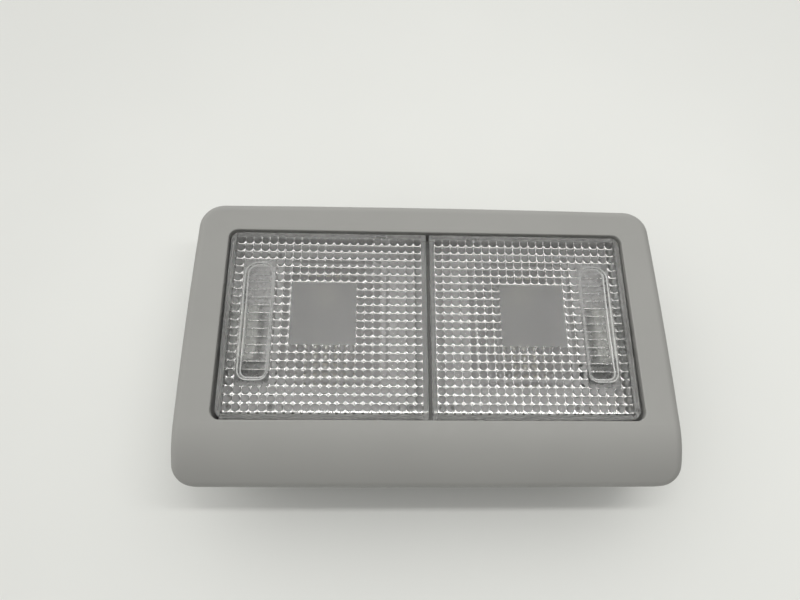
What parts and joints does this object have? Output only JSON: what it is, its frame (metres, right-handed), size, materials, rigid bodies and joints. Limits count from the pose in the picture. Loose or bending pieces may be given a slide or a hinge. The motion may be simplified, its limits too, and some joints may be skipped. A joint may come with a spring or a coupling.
{
  "type": "car dome light",
  "caption": "Grey-bezelled car dome light with clear rocking push lenses, each working its own bulb switch; lies on its back or clips into a headlining cut-out.",
  "frame": {"origin": "middle of the bounding box at the flat back of the housing, where the lamp rests on its back", "axes": "+Z out of the lit side, +X along the length from the left lens to the right lens, +Y to the rear edge with the narrow band"},
  "size_m": [0.1524, 0.0901, 0.038],
  "materials": {
    "bezel_grey": "fine moulded grain",
    "lens_clear": "clear moulded",
    "case_grey": "satin",
    "reflector_white": "satin",
    "bulb_glass": "clear",
    "bulb_metal": "satin",
    "contact_brass": "stamped, tinned",
    "switch_grey": "satin",
    "socket_dark": "satin",
    "plunger_white": "satin",
    "spring_steel": "drawn",
    "zinc_steel": "zinc plated"
  },
  "bodies": {
    "base": {"bezel": "bezel_grey", "housing": "case_grey", "connector_socket": "socket_dark", "feed_busbar": "contact_brass", "ground_busbar": "contact_brass", "case_screws": "zinc_steel", "left_reflector": "reflector_white", "right_reflector": "reflector_white", "left_bulb_glass": "bulb_glass", "right_bulb_glass": "bulb_glass", "left_bulb_caps": "bulb_metal", "right_bulb_caps": "bulb_metal", "left_lamp_busbar": "contact_brass", "right_lamp_busbar": "contact_brass", "left_switch_body": "switch_grey", "right_switch_body": "switch_grey", "left_plunger_spring": "spring_steel", "right_plunger_spring": "spring_steel", "left_mount_clip": "spring_steel", "right_mount_clip": "spring_steel"},
    "left_push_lens": {"left_lens": "lens_clear"},
    "right_push_lens": {"right_lens": "lens_clear"},
    "left_push_switch": {"left_plunger": "plunger_white", "left_contact_bridge": "contact_brass"},
    "right_push_switch": {"right_plunger": "plunger_white", "right_contact_bridge": "contact_brass"}
  },
  "joints": [
    {"name": "left_lens_rock", "type": "hinge", "parent": "base", "child": "left_push_lens", "pos_m": [-0.0154, 0.00405, 0.032], "axis": [0, -1, 0], "range_deg": [0, 3.5], "stiffness_Nm_per_rad": 1.2, "springref_deg": -5.73},
    {"name": "left_plunger_slide", "type": "slide", "parent": "base", "child": "left_push_switch", "axis": [0, 0, -1], "range_m": [0, 0.0027], "deforming": ["left_plunger_spring"]},
    {"name": "right_lens_rock", "type": "hinge", "parent": "base", "child": "right_push_lens", "pos_m": [0.0154, 0.00405, 0.032], "axis": [0, 1, 0], "range_deg": [0, 3.5], "stiffness_Nm_per_rad": 1.2, "springref_deg": -5.73},
    {"name": "right_plunger_slide", "type": "slide", "parent": "base", "child": "right_push_switch", "axis": [0, 0, -1], "range_m": [0, 0.0027], "deforming": ["right_plunger_spring"]}
  ],
  "couplings": [
    {"joint": "left_plunger_slide", "follows": "left_lens_rock", "m_per_rad": 0.0426},
    {"joint": "right_plunger_slide", "follows": "right_lens_rock", "m_per_rad": 0.0426}
  ]
}
